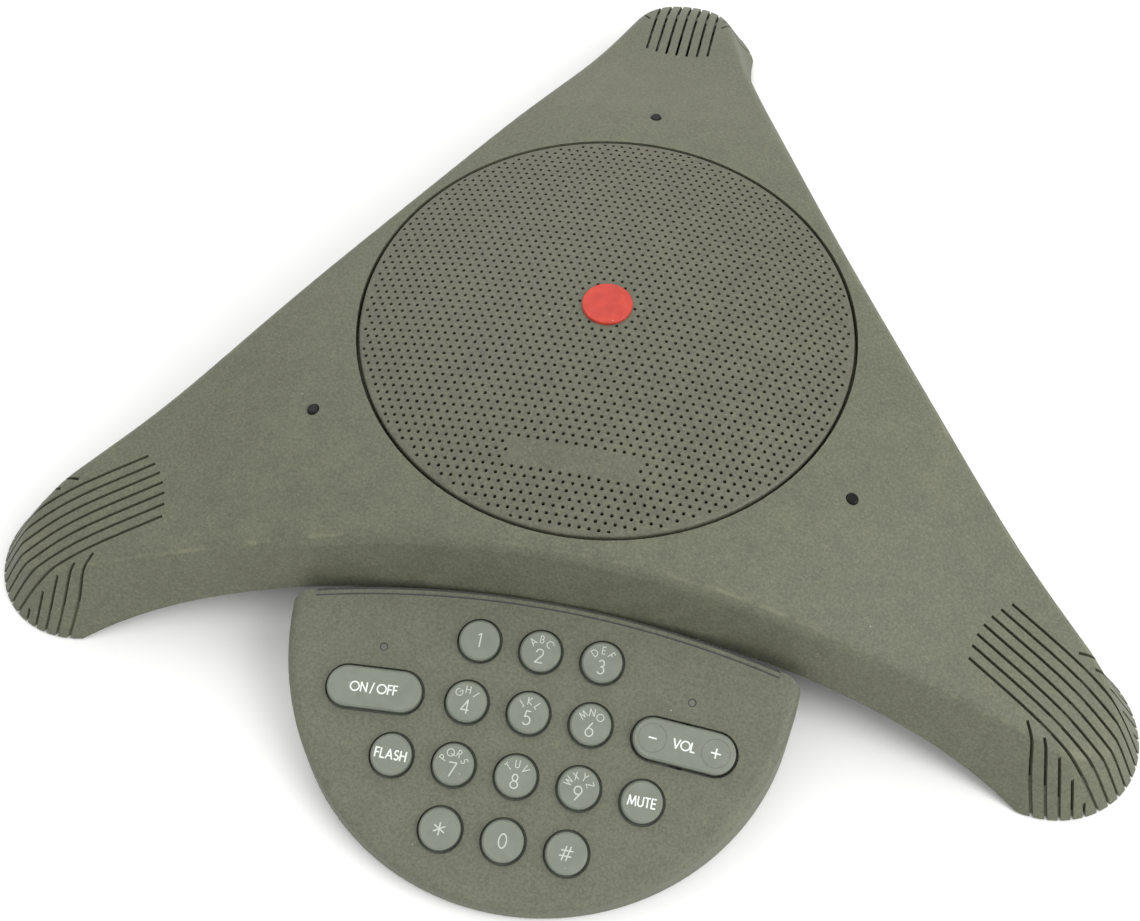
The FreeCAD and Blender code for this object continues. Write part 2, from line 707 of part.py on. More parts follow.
def make_rocker_pin():
    pin = Part.makeCylinder(ROCKER_PIN_RADIUS, 19.0, vec(0, -9.5, ROCKER_AXIS_W), vec(0, 1, 0))
    return onto_panel(pin, CAPSULE_PLACE[0], CAPSULE_PLACE[1], -CAPSULE_CANT)


def rocker_brackets():
    blocks = []
    for v in (-9.5, 7.5):
        block = box(-2.0, v, -4.4, 2.0, v + 2.0, -PAD_SKIN)
        pin = Part.makeCylinder(ROCKER_PIN_RADIUS, 20.0, vec(0, -10, ROCKER_AXIS_W), vec(0, 1, 0))
        blocks.append(onto_panel(block.cut(pin), CAPSULE_PLACE[0], CAPSULE_PLACE[1], -CAPSULE_CANT))
    return blocks


def digit_places():
    """Name and place of each digit key."""
    places = []
    for row, names in enumerate(DIGITS):
        for column, name in enumerate(names):
            places.append(("key_" + name, (column - 1) * KEY_PITCH, (1.5 - row) * KEY_PITCH))
    return places


def round_key_places():
    u, v = OUTER_KEY_PLACE
    return digit_places() + [("key_flash", -u, v), ("key_mute", u, v)]


def key_openings():
    cutters = []
    for _, u, v in round_key_places():
        cutters.append(onto_panel(cylinder(0, 0, -4, 8, KEY_RADIUS + KEY_GAP), u, v))
    wide = CAPSULE_WIDTH + 2 * KEY_GAP
    u, v = CAPSULE_PLACE
    cutters.append(onto_panel(capsule(ON_OFF_LENGTH + 2 * KEY_GAP, wide, -4, 8), -u, v, CAPSULE_CANT))
    cutters.append(onto_panel(capsule(VOLUME_LENGTH + 2 * KEY_GAP, wide, -4, 8), u, v, -CAPSULE_CANT))
    for side in (-1, 1):
        hole = cylinder(0, 0, -4, 8, PILOT_RADIUS + 0.05)
        cutters.append(onto_panel(hole, side * PILOT_PLACE[0], PILOT_PLACE[1]))
    return cutters


def make_pad_housing():
    outer = pad_prism(0, PAD_FLOOR_Z, SKY).cut(panel_slab(0, 90))
    rim = [e for e in outer.Edges if e.BoundBox.ZMax > 20 and e.BoundBox.YMin < -170]
    outer = outer.makeFillet(PAD_FILLET, rim)
    hollow = pad_prism(PAD_SKIN, PAD_FLOOR_Z - 1, SKY).cut(panel_slab(-PAD_SKIN, 90))
    shell = outer.cut(hollow)
    posts = []
    for x, y in PAD_BOSSES:
        post = cylinder(x, y, 2.6, SKY, BOSS_RADIUS).cut(panel_slab(-1.0, 90))
        posts.append(post.cut(cylinder(x, y, 2.6, 5.4, BORE_RADIUS)))
    shell = fuse([shell] + posts + rocker_brackets())
    half = RIBBON_WIDTH / 2 + 1
    window = box(-half, -110, 17.0, half, -85, 25.0)
    notch = box(-TONGUE_X - 0.3, -110, 0, TONGUE_X + 0.3, -85, PAN_Z + 0.2)
    return shell.cut(group(key_openings() + [window, notch]))


def make_pad_base():
    plate = pad_prism(PAD_SKIN + 0.2, PAD_FLOOR_Z, 2.5)
    step = box(-TONGUE_X, -98, PAD_FLOOR_Z, TONGUE_X, -90, PAN_Z - 0.1)
    tongue = box(-TONGUE_X, -90, 2.6, TONGUE_X, TONGUE_BACK_Y, PAN_Z - 0.1)
    base = fuse([plate, step, tongue])
    holes = [cylinder(x, y, 0, 9, 1.5) for x, y in TONGUE_SCREWS]
    holes += [cylinder(x, y, 0, 9, 1.35) for x, y in PAD_BOSSES]
    return base.cut(group(holes))


def make_pad_screws():
    screws = []
    for x, y in PAD_BOSSES:
        head = cylinder(x, y, 0.4, PAD_FLOOR_Z, 2.4)
        screws.append(head.fuse(cylinder(x, y, PAD_FLOOR_Z, 5.2, SCREW_RADIUS)))
    for x, y in TONGUE_SCREWS:
        head = cylinder(x, y, 1.2, 2.6, 2.8)
        screws.append(head.fuse(cylinder(x, y, 2.6, 9.4, 1.4)))
    return group(screws)


def make_pad_feet():
    feet = []
    for x, y in ((-58, -132), (58, -132), (-24, -166), (24, -166)):
        feet.append(cylinder(x, y, 0, PAD_FLOOR_Z, 5.0))
    return group(feet)


def pad_layer(w0, w1):
    """A sheet that fills the pad's inside, clear of the screw posts."""
    slab = onto_panel(box(-66, PAD_BOARD_FRONT_V, w0, 66, 33.5, w1))
    layer = pad_prism(PAD_SKIN + 1.2, 0, SKY).common(slab)
    return layer.cut(group([cylinder(x, y, 0, SKY, BOSS_RADIUS + 0.6) for x, y in PAD_BOSSES]))


def make_membrane():
    sheet = pad_layer(*MEMBRANE)
    domes = []
    for _, u, v in round_key_places():
        domes.append(onto_panel(cylinder(0, 0, MEMBRANE[0] + 0.2, DOME_TOP, DOME_RADIUS), u, v))
    u, v = CAPSULE_PLACE
    domes.append(onto_panel(cylinder(0, 0, MEMBRANE[0] + 0.2, DOME_TOP, DOME_RADIUS), -u, v))
    holes = []
    for side in (-1, 1):
        holes.append(onto_panel(cylinder(0, 0, -8, 0, 2.4), side * PILOT_PLACE[0], PILOT_PLACE[1]))
    return fuse([sheet] + domes).cut(group(holes))


def make_pad_board():
    return pad_layer(*PAD_BOARD)


def make_pad_leds():
    leds = []
    for side in (-1, 1):
        led = box(-1.5, -1.5, PAD_BOARD[1], 1.5, 1.5, PAD_BOARD[1] + 1.3)
        leds.append(onto_panel(led, side * PILOT_PLACE[0], PILOT_PLACE[1]))
    return group(leds)


def make_pad_light_pipes():
    rods = []
    for side in (-1, 1):
        rod = cylinder(0, 0, -3.9, -0.3, PILOT_RADIUS)
        rods.append(onto_panel(rod, side * PILOT_PLACE[0], PILOT_PLACE[1]))
    return group(rods)


def make_ribbon_cable():
    """Flat cable from the dial pad's board, down through both walls, to the main board."""
    path = [(-96.5, 21.4), (-88.0, 21.4), (-84.5, 15.0), (-74.0, 15.0), (-70.0, BOARD_TOP + 0.1)]
    lower = [(y, z) for y, z in path]
    upper = [(y + 0.5, z + RIBBON_THICK) for y, z in reversed(path)]
    wire = Part.makePolygon([vec(-RIBBON_WIDTH / 2, y, z) for y, z in lower + upper + lower[:1]])
    return Part.Face(wire).extrude(vec(RIBBON_WIDTH, 0, 0))


# ---- Output ----
def row_origin_y():
    """How far the row's origin lies from the loudspeaker axis, to be under the middle of the whole box."""
    edge_section = SECTIONS[1]
    leg_reach = edge_section[1] + tip_radius(*edge_section[1:])
    return (leg_reach - PAD_REACH) / 2.0


def write(name, shape):
    placed = shape.copy()
    placed.translate(vec(0, -row_origin_y()))
    if not placed.isValid():
        print("not valid:", name)
    placed.exportStep("parts/" + name + ".step")
    print(name, len(placed.Solids), round(placed.Volume / 1000.0, 2), "cm3")


def main():
    os.makedirs("parts", exist_ok=True)
    write("top_housing", make_top_housing())
    write("base_pan", make_base_pan())
    write("housing_screws", make_housing_screws())
    write("speaker_grille", make_grille())
    write("grille_cloth", make_grille_cloth())
    write("badge", make_badge())
    write("speaker_frame", make_speaker_frame())
    write("speaker_gasket", make_speaker_gasket())
    write("speaker_cone", make_speaker_cone())
    write("speaker_surround", make_speaker_surround())
    write("speaker_dust_cap", make_speaker_dust_cap())
    write("speaker_voice_coil", make_voice_coil())
    write("speaker_magnet", make_speaker_magnet())
    write("speaker_screws", make_speaker_screws())
    write("main_circuit_board", make_main_board())
    write("board_screws", make_board_screws())
    write("processor_chips", make_processor_chips())
    write("capacitors", make_capacitors())
    write("line_transformer", make_line_transformer())
    write("status_leds", make_status_leds())
    write("microphone_boots", make_microphone_boots())
    write("microphone_leads", make_microphone_leads())
    write("line_jack", make_line_jack())
    write("line_jack_contacts", make_jack_contacts())
    for name, angle in LEG_ANGLES.items():
        write("rubber_foot_" + name, make_feet(angle))
        write("light_pipe_" + name, make_light_pipe(angle))
        write("microphone_" + name, make_microphone(angle))
    write("keypad_housing", make_pad_housing())
    write("keypad_base", make_pad_base())
    write("keypad_screws", make_pad_screws())
    write("keypad_feet", make_pad_feet())
    write("keypad_membrane", make_membrane())
    write("keypad_circuit_board", make_pad_board())
    write("keypad_leds", make_pad_leds())
    write("keypad_light_pipes", make_pad_light_pipes())
    write("keypad_ribbon_cable", make_ribbon_cable())
    write("volume_rocker", make_volume_rocker())
    write("volume_rocker_pin", make_rocker_pin())
    write("key_on_off", make_on_off_key())
    for name, u, v in round_key_places():
        write(name, make_round_key(u, v))


main()
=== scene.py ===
import json
import math

import bpy
import bmesh
from mathutils import Matrix, Vector
from mathutils.geometry import delaunay_2d_cdt


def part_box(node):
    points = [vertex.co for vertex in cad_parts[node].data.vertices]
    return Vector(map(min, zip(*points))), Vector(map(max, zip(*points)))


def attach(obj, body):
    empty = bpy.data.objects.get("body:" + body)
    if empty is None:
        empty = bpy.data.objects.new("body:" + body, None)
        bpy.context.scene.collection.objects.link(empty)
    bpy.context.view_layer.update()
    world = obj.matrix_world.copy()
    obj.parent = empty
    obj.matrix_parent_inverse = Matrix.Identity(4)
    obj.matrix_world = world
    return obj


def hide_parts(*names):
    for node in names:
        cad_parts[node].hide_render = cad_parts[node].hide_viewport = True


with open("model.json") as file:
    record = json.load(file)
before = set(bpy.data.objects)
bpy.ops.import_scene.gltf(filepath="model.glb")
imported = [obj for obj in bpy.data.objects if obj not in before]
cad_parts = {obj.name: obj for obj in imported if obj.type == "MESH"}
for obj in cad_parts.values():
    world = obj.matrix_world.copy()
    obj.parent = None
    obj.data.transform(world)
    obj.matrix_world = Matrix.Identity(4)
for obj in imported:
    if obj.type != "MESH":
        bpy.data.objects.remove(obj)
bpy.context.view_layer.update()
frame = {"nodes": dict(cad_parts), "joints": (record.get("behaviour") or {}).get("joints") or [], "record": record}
NODES = frame["nodes"]
MM = 0.001

# ---- Sizes that the looks add to the frame, in metres ----
GRILLE_PITCH = 3.0 * MM
GRILLE_HOLE_RADIUS = 0.59 * MM
GRILLE_FIELD_RADIUS = 79.4 * MM
GRILLE_RISE = 9.7 * MM          # crown above the rim circle
GRILLE_RIM_RADIUS = 82.0 * MM
GRILLE_SHEET = 1.3 * MM
GRILLE_LIP = 1.0 * MM           # rounding at the edge of the grille
GRILLE_SKIRT = 4.0 * MM
GRILLE_SHRINK = 0.4 * MM        # widens the shadow gap around the grille
GRILLE_CREASE = math.radians(40)
HOLE_SIDES = 12
LIP_SIDES = 240
LIP_STEPS = 6
BLANK_CENTRE_Y = -57.5 * MM     # the unperforated name band, from the grille's centre
BLANK_HALF = (21.0 * MM, 3.4 * MM)
INSIDE_TRIANGLES = 1            # the triangulation's output type: triangles inside the outer edge
POINT_GAP = 1e-7                # points nearer than this are the same point
CLOSING_GAP = 1e-6              # a line whose ends are nearer than this is a closed ring

PRINT_LIFT = 0.02 * MM          # how far a printed legend stands above its key
PRINT_FLATTEN = 0.12            # height of a printed line, as a share of its width
SHARP_TURN = math.radians(35)
END_STRETCH = 0.3               # open lines run on past their ends, in line widths
LINE_ROUNDING = 2
DIGIT_HEIGHT = 4.1 * MM
SIGN_HEIGHT = 5.0 * MM
LETTER_HEIGHT = 2.15 * MM
LETTER_RADIUS = 3.55 * MM       # the letters stand on an arc about the key's middle
LETTER_TURNS = {3: math.radians(47), 4: math.radians(44)}   # between letters, by their number
DIGIT_DROP = 1.55 * MM
WORD_HEIGHT = 2.7 * MM
LETTER_GAP = 0.2                # gaps between letters, in letter heights
WORD_GAP = 0.22
VOLUME_GAP = 0.16
DIGIT_STROKE = 0.44 * MM
LETTER_STROKE = 0.30 * MM
WORD_STROKE = 0.48 * MM
RING_STROKE = 0.22 * MM
RING_STEPS = 48
ROCKER_RING_RADIUS = 4.25 * MM
ROCKER_RING_OFFSET = 9.6 * MM

PAD_BACK_RADIUS = 327.4 * MM    # the dial pad's back edge
PAD_BACK_Y = -107.2 * MM
RIB_HALF_SPAN = 72.5 * MM
RIB_STEPS = 60
RIB_GAP = 0.5 * MM
RIB_WIDTH = 1.3 * MM
RIB_HEIGHT = 0.35 * MM
RIB_SINK = 0.3 * MM
RIB_CHAMFER = 0.4               # share of the rib's height
# A thin black strip under the rib, standing past it as painted shade at the wall's foot
SHADE_STRIP_OVERLAP = 0.5 * MM
SHADE_STRIP_HEIGHT = 0.08 * MM
# Dark rings of painted shade round the sunken pilot windows
PILOT_SHADE_RING_RADIUS = 1.3 * MM
PILOT_SHADE_RING_WIRE = 0.30 * MM
PILOT_SHADE_RING_STEPS = 32
PILOT_SINK = 0.3 * MM           # the pilot windows stand this far below the panel

WAVE_UNIT = 6.28                # sets the wave texture's scale by the width of one band
CONDUCTOR_WIDTH = 1.27 * MM
WIRE_WIDTH = 0.2 * MM
TRACK_PITCH = 5.5 * MM
SPECK_CELL = 5                  # the cell that holds one speck, in speck widths

# ---- Stage and view ----
TABLE_HALF = 9.0                # half the table's side; only a low view shows its far edge
WORLD_STRENGTH = 0.92
LIGHTS = {                      # each light's place, size and power in watts, aimed at the origin
    "key_light": ((1.2, -0.35, 1.1), 1.1, 14.0),
    "fill_light": ((-0.5, 1.0, 1.3), 1.2, 6.0),
}
CAMERA_PLACE = (0.0487, -0.3201, 0.4498)
CAMERA_AZIMUTH = math.radians(11.307)
CAMERA_ELEVATION = math.radians(57.194)
CAMERA_ROLL = math.radians(-0.07)
CAMERA_LENS = 48.27             # millimetres, on a sensor 36 mm wide
CAMERA_SENSOR = 36.0

# ---- Nodes and what is printed on them ----
LAMPS = ["light_pipe_rear", "light_pipe_left", "light_pipe_right"]
LETTERS = {"2": "ABC", "3": "DEF", "4": "GHI", "5": "JKL", "6": "MNO", "7": "PQRS", "8": "TUV", "9": "WXYZ"}
LEGENDS = {"key_star": "*", "key_hash": "#"}
LEGENDS.update({"key_" + digit: digit for digit in "0123456789"})


# ---- Shader helper ----
class Shader:
    """Builds one material's node graph around a Principled shader."""

    def __init__(self, name, **settings):
        self.material = bpy.data.materials.new(name)
        self.material.use_nodes = True
        self.tree = self.material.node_tree
        self.surface = self.tree.nodes["Principled BSDF"]
        coordinates = self.add("ShaderNodeTexCoord")
        self.place = coordinates.outputs["Object"]
        for socket, value in settings.items():
            self.surface.inputs[socket.replace("_", " ")].default_value = value

    def add(self, kind, inputs=None, **properties):
        node = self.tree.nodes.new(kind)
        for key, value in properties.items():
            setattr(node, key, value)
        for key, value in (inputs or {}).items():
            if isinstance(value, bpy.types.NodeSocket):
                self.tree.links.new(value, node.inputs[key])
            else:
                node.inputs[key].default_value = value
        return node

    def stretched(self, scale):
        return self.add("ShaderNodeMapping", {"Vector": self.place, "Scale": scale}).outputs[0]

    def noise(self, size, detail=3.0, roughness=0.55, vector=None):
        """Noise from 0 to 1 whose features are about size metres across."""
        inputs = {
            "Vector": vector or self.place,
            "Scale": 1.0 / size,
            "Detail": detail,
            "Roughness": roughness,
        }
        return self.add("ShaderNodeTexNoise", inputs).outputs["Fac"]

    def band(self, value, low, high, start=0.0, end=1.0):
        """Maps low..high onto start..end with soft ends."""
        inputs = {"Value": value, "From Min": low, "From Max": high, "To Min": start, "To Max": end}
        return self.add("ShaderNodeMapRange", inputs, interpolation_type="SMOOTHSTEP").outputs[0]

    def math(self, operation, first, second):
        return self.add("ShaderNodeMath", {0: first, 1: second}, operation=operation).outputs[0]

    def mix(self, share, first, second):
        node = self.add("ShaderNodeMix", data_type="RGBA")
        for index, value in ((0, share), (6, first), (7, second)):
            if isinstance(value, bpy.types.NodeSocket):
                self.tree.links.new(value, node.inputs[index])
            else:
                node.inputs[index].default_value = value
        return node.outputs[2]

    def specks(self, size, share):
        """Scattered round dots about size metres across, on a share of the cells."""
        cells = self.add("ShaderNodeTexVoronoi", {"Vector": self.place, "Scale": 1.0 / (size * SPECK_CELL)})
        dot = self.band(cells.outputs["Distance"], 0.10, 0.16, 1.0, 0.0)
        pick = self.add("ShaderNodeSeparateColor", {"Color": cells.outputs["Color"]})
        chosen = self.math("GREATER_THAN", pick.outputs[0], 1.0 - share)
        return self.math("MULTIPLY", dot, chosen)

    def waves(self, width, direction, **inputs):
        """Bands across direction from 0 to 1, each about width metres wide and as far apart."""
        inputs.update({"Vector": self.place, "Scale": 1.0 / (width * WAVE_UNIT)})
        return self.add("ShaderNodeTexWave", inputs, bands_direction=direction).outputs["Fac"]

    def colour(self, value):
        self.tree.links.new(value, self.surface.inputs["Base Color"])

    def roughness(self, value, low, high):
        self.tree.links.new(self.band(value, 0.3, 0.7, low, high), self.surface.inputs["Roughness"])

    def bump(self, height, distance, strength=1.0):
        node = self.add("ShaderNodeBump", {"Height": height, "Distance": distance, "Strength": strength})
        self.tree.links.new(node.outputs[0], self.surface.inputs["Normal"])


def rgb(red, green, blue):
    """Linear colour from 0..255 display values."""
    def linear(value):
        share = value / 255.0
        return share / 12.92 if share <= 0.04045 else ((share + 0.055) / 1.055) ** 2.4
    return (linear(red), linear(green), linear(blue), 1.0)


def shaded(colour, factor):
    return tuple(part * factor for part in colour[:3]) + (1.0,)


# ---- Materials ----
PALE_SPECK = rgb(205, 208, 196)


def scratches(shader):
    """Share of fine straight scratches, in two crossing directions."""
    along = shader.noise(1.4 * MM, 2.0, 0.5, shader.stretched((0.05, 1.0, 1.0)))
    across = shader.noise(1.7 * MM, 2.0, 0.5, shader.stretched((1.0, 0.06, 1.0)))
    return shader.math("MAXIMUM", shader.band(along, 0.76, 0.82), shader.band(across, 0.77, 0.83))


def ridge_rubbing_and_highlight(shader):
    """Share of rubbing and painted highlight in patches where the surface bends over, from the slope of its
    normal.
    """
    normal = shader.add("ShaderNodeNewGeometry").outputs["Normal"]
    up = shader.add("ShaderNodeSeparateXYZ", {"Vector": normal}).outputs["Z"]
    ridge = shader.math("MULTIPLY", shader.band(up, 0.68, 0.78), shader.band(up, 0.80, 0.90, 1.0, 0.0))
    broken = shader.band(shader.noise(9 * MM, 5.0, 0.7), 0.42, 0.68)
    return shader.math("MULTIPLY", ridge, broken)


def aged_plastic(name, colour, dust, rubbing_and_highlight=0.0, grain=0.35 * MM, rough=(0.52, 0.68), mottle=1.0):
    """Moulded plastic with a fine texture, mottled by handling and dust, and lighter along its ridges, partly
    rubbed and partly a painted highlight.
    """
    shader = Shader(name, Specular_IOR_Level=0.42)
    patches = shader.noise(9 * MM, 6.0, 0.72)
    clouds = shader.noise(60 * MM, 3.0)
    fine = shader.noise(0.9 * MM, 3.0, 0.8)
    darker = shaded(colour, 1 - 0.10 * mottle)
    lighter = shaded(colour, 1 + 0.09 * mottle)
    tone = shader.mix(shader.band(patches, 0.3, 0.7), darker, lighter)
    tone = shader.mix(shader.band(fine, 0.38, 0.5, 0.55, 0.0), tone, shaded(colour, 0.62))
    tone = shader.mix(shader.band(fine, 0.52, 0.64, 0.0, 0.42), tone, dust)
    dusty = shader.math("MULTIPLY", shader.band(clouds, 0.42, 0.72), shader.band(patches, 0.35, 0.8))
    tone = shader.mix(shader.math("MULTIPLY", dusty, 0.22 * mottle), tone, dust)
    tone = shader.mix(shader.math("MULTIPLY", scratches(shader), 0.35), tone, dust)
    # The ridge band is partly rubbing and partly a painted highlight in the dust colour.
    if rubbing_and_highlight:
        tone = shader.mix(shader.math("MULTIPLY", ridge_rubbing_and_highlight(shader), rubbing_and_highlight), tone, dust)
    tone = shader.mix(shader.math("MULTIPLY", shader.specks(0.35 * MM, 0.005), 0.6), tone, PALE_SPECK)
    shader.colour(tone)
    shader.roughness(patches, *rough)
    texture = shader.math("ADD", shader.noise(grain, 2.0, 0.6), shader.math("MULTIPLY", fine, 0.6))
    shader.bump(texture, 0.05 * MM, 0.55)
    return shader.material


def key_plastic():
    """Smoother plastic of the keys, polished by fingers."""
    base = rgb(122, 128, 115)
    shader = Shader("keys", Specular_IOR_Level=0.45)
    smear = shader.noise(5 * MM, 4.0, 0.6)
    fine = shader.noise(0.8 * MM, 2.0)
    tone = shader.mix(shader.band(smear, 0.3, 0.7), shaded(base, 0.93), shaded(base, 1.05))
    tone = shader.mix(shader.band(fine, 0.3, 0.8, 0.0, 0.35), tone, shaded(base, 0.9))
    tone = shader.mix(shader.math("MULTIPLY", shader.specks(0.3 * MM, 0.02), 0.5), tone, PALE_SPECK)
    shader.colour(tone)
    shader.roughness(smear, 0.36, 0.5)
    shader.bump(shader.noise(0.3 * MM, 2.0), 0.03 * MM, 0.4)
    return shader.material


def print_ink(name, fresh):
    """Pad-printed legend, a little worn."""
    shader = Shader(name, Specular_IOR_Level=0.4)
    worn = shader.noise(0.7 * MM, 3.0, 0.6)
    shader.colour(shader.mix(shader.band(worn, 0.5, 0.75, 0.0, 0.6), fresh, shaded(fresh, 0.62)))
    shader.roughness(worn, 0.45, 0.6)
    shader.bump(worn, 0.01 * MM, 0.5)
    return shader.material


def groove_shade_ink():
    """Line of the rings on the volume rocker, painted darker as the shade of a groove, unevenly."""
    shader = Shader("ring_line")
    shade_mottle = shader.noise(1.2 * MM, 3.0)
    # Painted groove shade, deeper in random patches
    shader.colour(shader.mix(shade_mottle, rgb(92, 97, 84), rgb(122, 127, 112)))
    shader.roughness(shade_mottle, 0.5, 0.7)
    return shader.material


def rubber(name, colour, grain=0.6 * MM):
    shader = Shader(name, Specular_IOR_Level=0.3)
    smear = shader.noise(6 * MM, 4.0, 0.6)
    shader.colour(shader.mix(shader.band(smear, 0.35, 0.75), colour, shaded(colour, 1.6)))
    shader.roughness(smear, 0.72, 0.88)
    shader.bump(shader.noise(grain, 3.0), 0.05 * MM, 0.6)
    return shader.material


def cloth(name, colour, thread=0.55 * MM):
    """Plain weave: two crossed sets of threads, painted lighter where they cross and darker between them as shade.
    """
    shader = Shader(name, Specular_IOR_Level=0.15, Roughness=0.95)
    warp = shader.waves(thread, "X", Distortion=0.4, Detail=1.0)
    weft = shader.waves(thread, "Y", Distortion=0.4, Detail=1.0)
    weave = shader.math("MULTIPLY", warp, weft)
    # Painted highlight on the crossings and painted shade between the threads
    shader.colour(shader.mix(weave, shaded(colour, 0.5), shaded(colour, 1.6)))
    shader.bump(weave, 0.1 * MM, 0.7)
    return shader.material


def metal(name, colour, rough=(0.3, 0.45), brush=(1.0, 1.0, 0.08)):
    shader = Shader(name, Metallic=1.0)
    lines = shader.noise(0.5 * MM, 3.0, 0.6, shader.stretched(brush))
    stain = shader.noise(5 * MM, 4.0)
    shader.colour(shader.mix(shader.band(stain, 0.35, 0.75), colour, shaded(colour, 0.72)))
    shader.roughness(lines, *rough)
    shader.bump(lines, 0.01 * MM, 0.5)
    return shader.material


def painted(name, colour, gloss=0.4):
    shader = Shader(name, Specular_IOR_Level=0.5)
    peel = shader.noise(1.6 * MM, 3.0)
    stain = shader.noise(12 * MM, 4.0)
    shader.colour(shader.mix(shader.band(stain, 0.3, 0.7), shaded(colour, 0.85), shaded(colour, 1.2)))
    shader.roughness(stain, gloss, gloss + 0.12)
    shader.bump(peel, 0.02 * MM, 0.4)
    return shader.material


def badge_enamel():
    """Red enamel under a thin clear coat, with dust in its texture."""
    red = rgb(186, 46, 28)
    shader = Shader("badge_enamel", Specular_IOR_Level=0.4, Coat_Weight=0.1, Coat_Roughness=0.3)
    cloud = shader.noise(4 * MM, 4.0, 0.6)
    tone = shader.mix(shader.band(cloud, 0.3, 0.75), shaded(red, 0.9), rgb(196, 62, 44))
    tone = shader.mix(shader.math("MULTIPLY", shader.specks(0.3 * MM, 0.05), 0.6), tone, rgb(240, 180, 165))
    shader.colour(tone)
    shader.roughness(cloud, 0.42, 0.55)
    shader.bump(shader.noise(0.7 * MM, 2.0), 0.02 * MM, 0.4)
    return shader.material


def smoked_lens(name, colour):
    """Moulded lamp window, dark when unlit."""
    shader = Shader(name, Specular_IOR_Level=0.15, Coat_Weight=0.05, Coat_Roughness=0.1)
    swirl = shader.noise(1.5 * MM, 3.0)
    shader.colour(shader.mix(swirl, shaded(colour, 0.7), shaded(colour, 1.5)))
    shader.roughness(swirl, 0.10, 0.22)
    shader.bump(shader.noise(0.9 * MM, 2.0), 0.02 * MM, 0.3)
    return shader.material


def circuit_board():
    """Green solder mask over copper tracks."""
    shader = Shader("solder_mask", Specular_IOR_Level=0.55, Coat_Weight=0.3, Coat_Roughness=0.15)
    inputs = {"Vector": shader.place, "Scale": 1.0 / TRACK_PITCH, "Randomness": 0.0}
    cells = shader.add("ShaderNodeTexVoronoi", inputs, distance="MANHATTAN", feature="DISTANCE_TO_EDGE")
    tracks = shader.band(cells.outputs["Distance"], 0.05, 0.09, 1.0, 0.0)
    broken = shader.math("MULTIPLY", tracks, shader.band(shader.noise(14 * MM, 1.0), 0.45, 0.5))
    mask = shader.mix(broken, rgb(28, 92, 52), rgb(72, 138, 84))
    pads = shader.math("MULTIPLY", shader.specks(1.2 * MM, 0.35), 0.8)
    shader.colour(shader.mix(pads, mask, rgb(196, 190, 150)))
    shader.roughness(broken, 0.28, 0.36)
    shader.bump(broken, 0.03 * MM, 0.5)
    return shader.material


def ribbon_cable():
    """Flat cable with its conductors showing as ridges, painted darker in the grooves and lighter on the crowns as
    shade and highlight.
    """
    shader = Shader("ribbon_cable", Specular_IOR_Level=0.45, Roughness=0.5)
    ridges = shader.waves(CONDUCTOR_WIDTH, "X")
    # Painted shade in the grooves and painted highlight on the ridges, in step with the bump
    shader.colour(shader.mix(ridges, rgb(120, 121, 118), rgb(196, 197, 192)))
    shader.bump(ridges, 0.15 * MM, 0.8)
    return shader.material


def copper_winding():
    shader = Shader("copper_winding", Metallic=1.0)
    turns = shader.waves(WIRE_WIDTH, "Z")
    # Painted shade between the turns and painted highlight on their crowns, in step with the bump
    shader.colour(shader.mix(turns, rgb(126, 62, 30), rgb(214, 132, 82)))
    shader.roughness(turns, 0.3, 0.4)
    shader.bump(turns, 0.05 * MM, 0.8)
    return shader.material


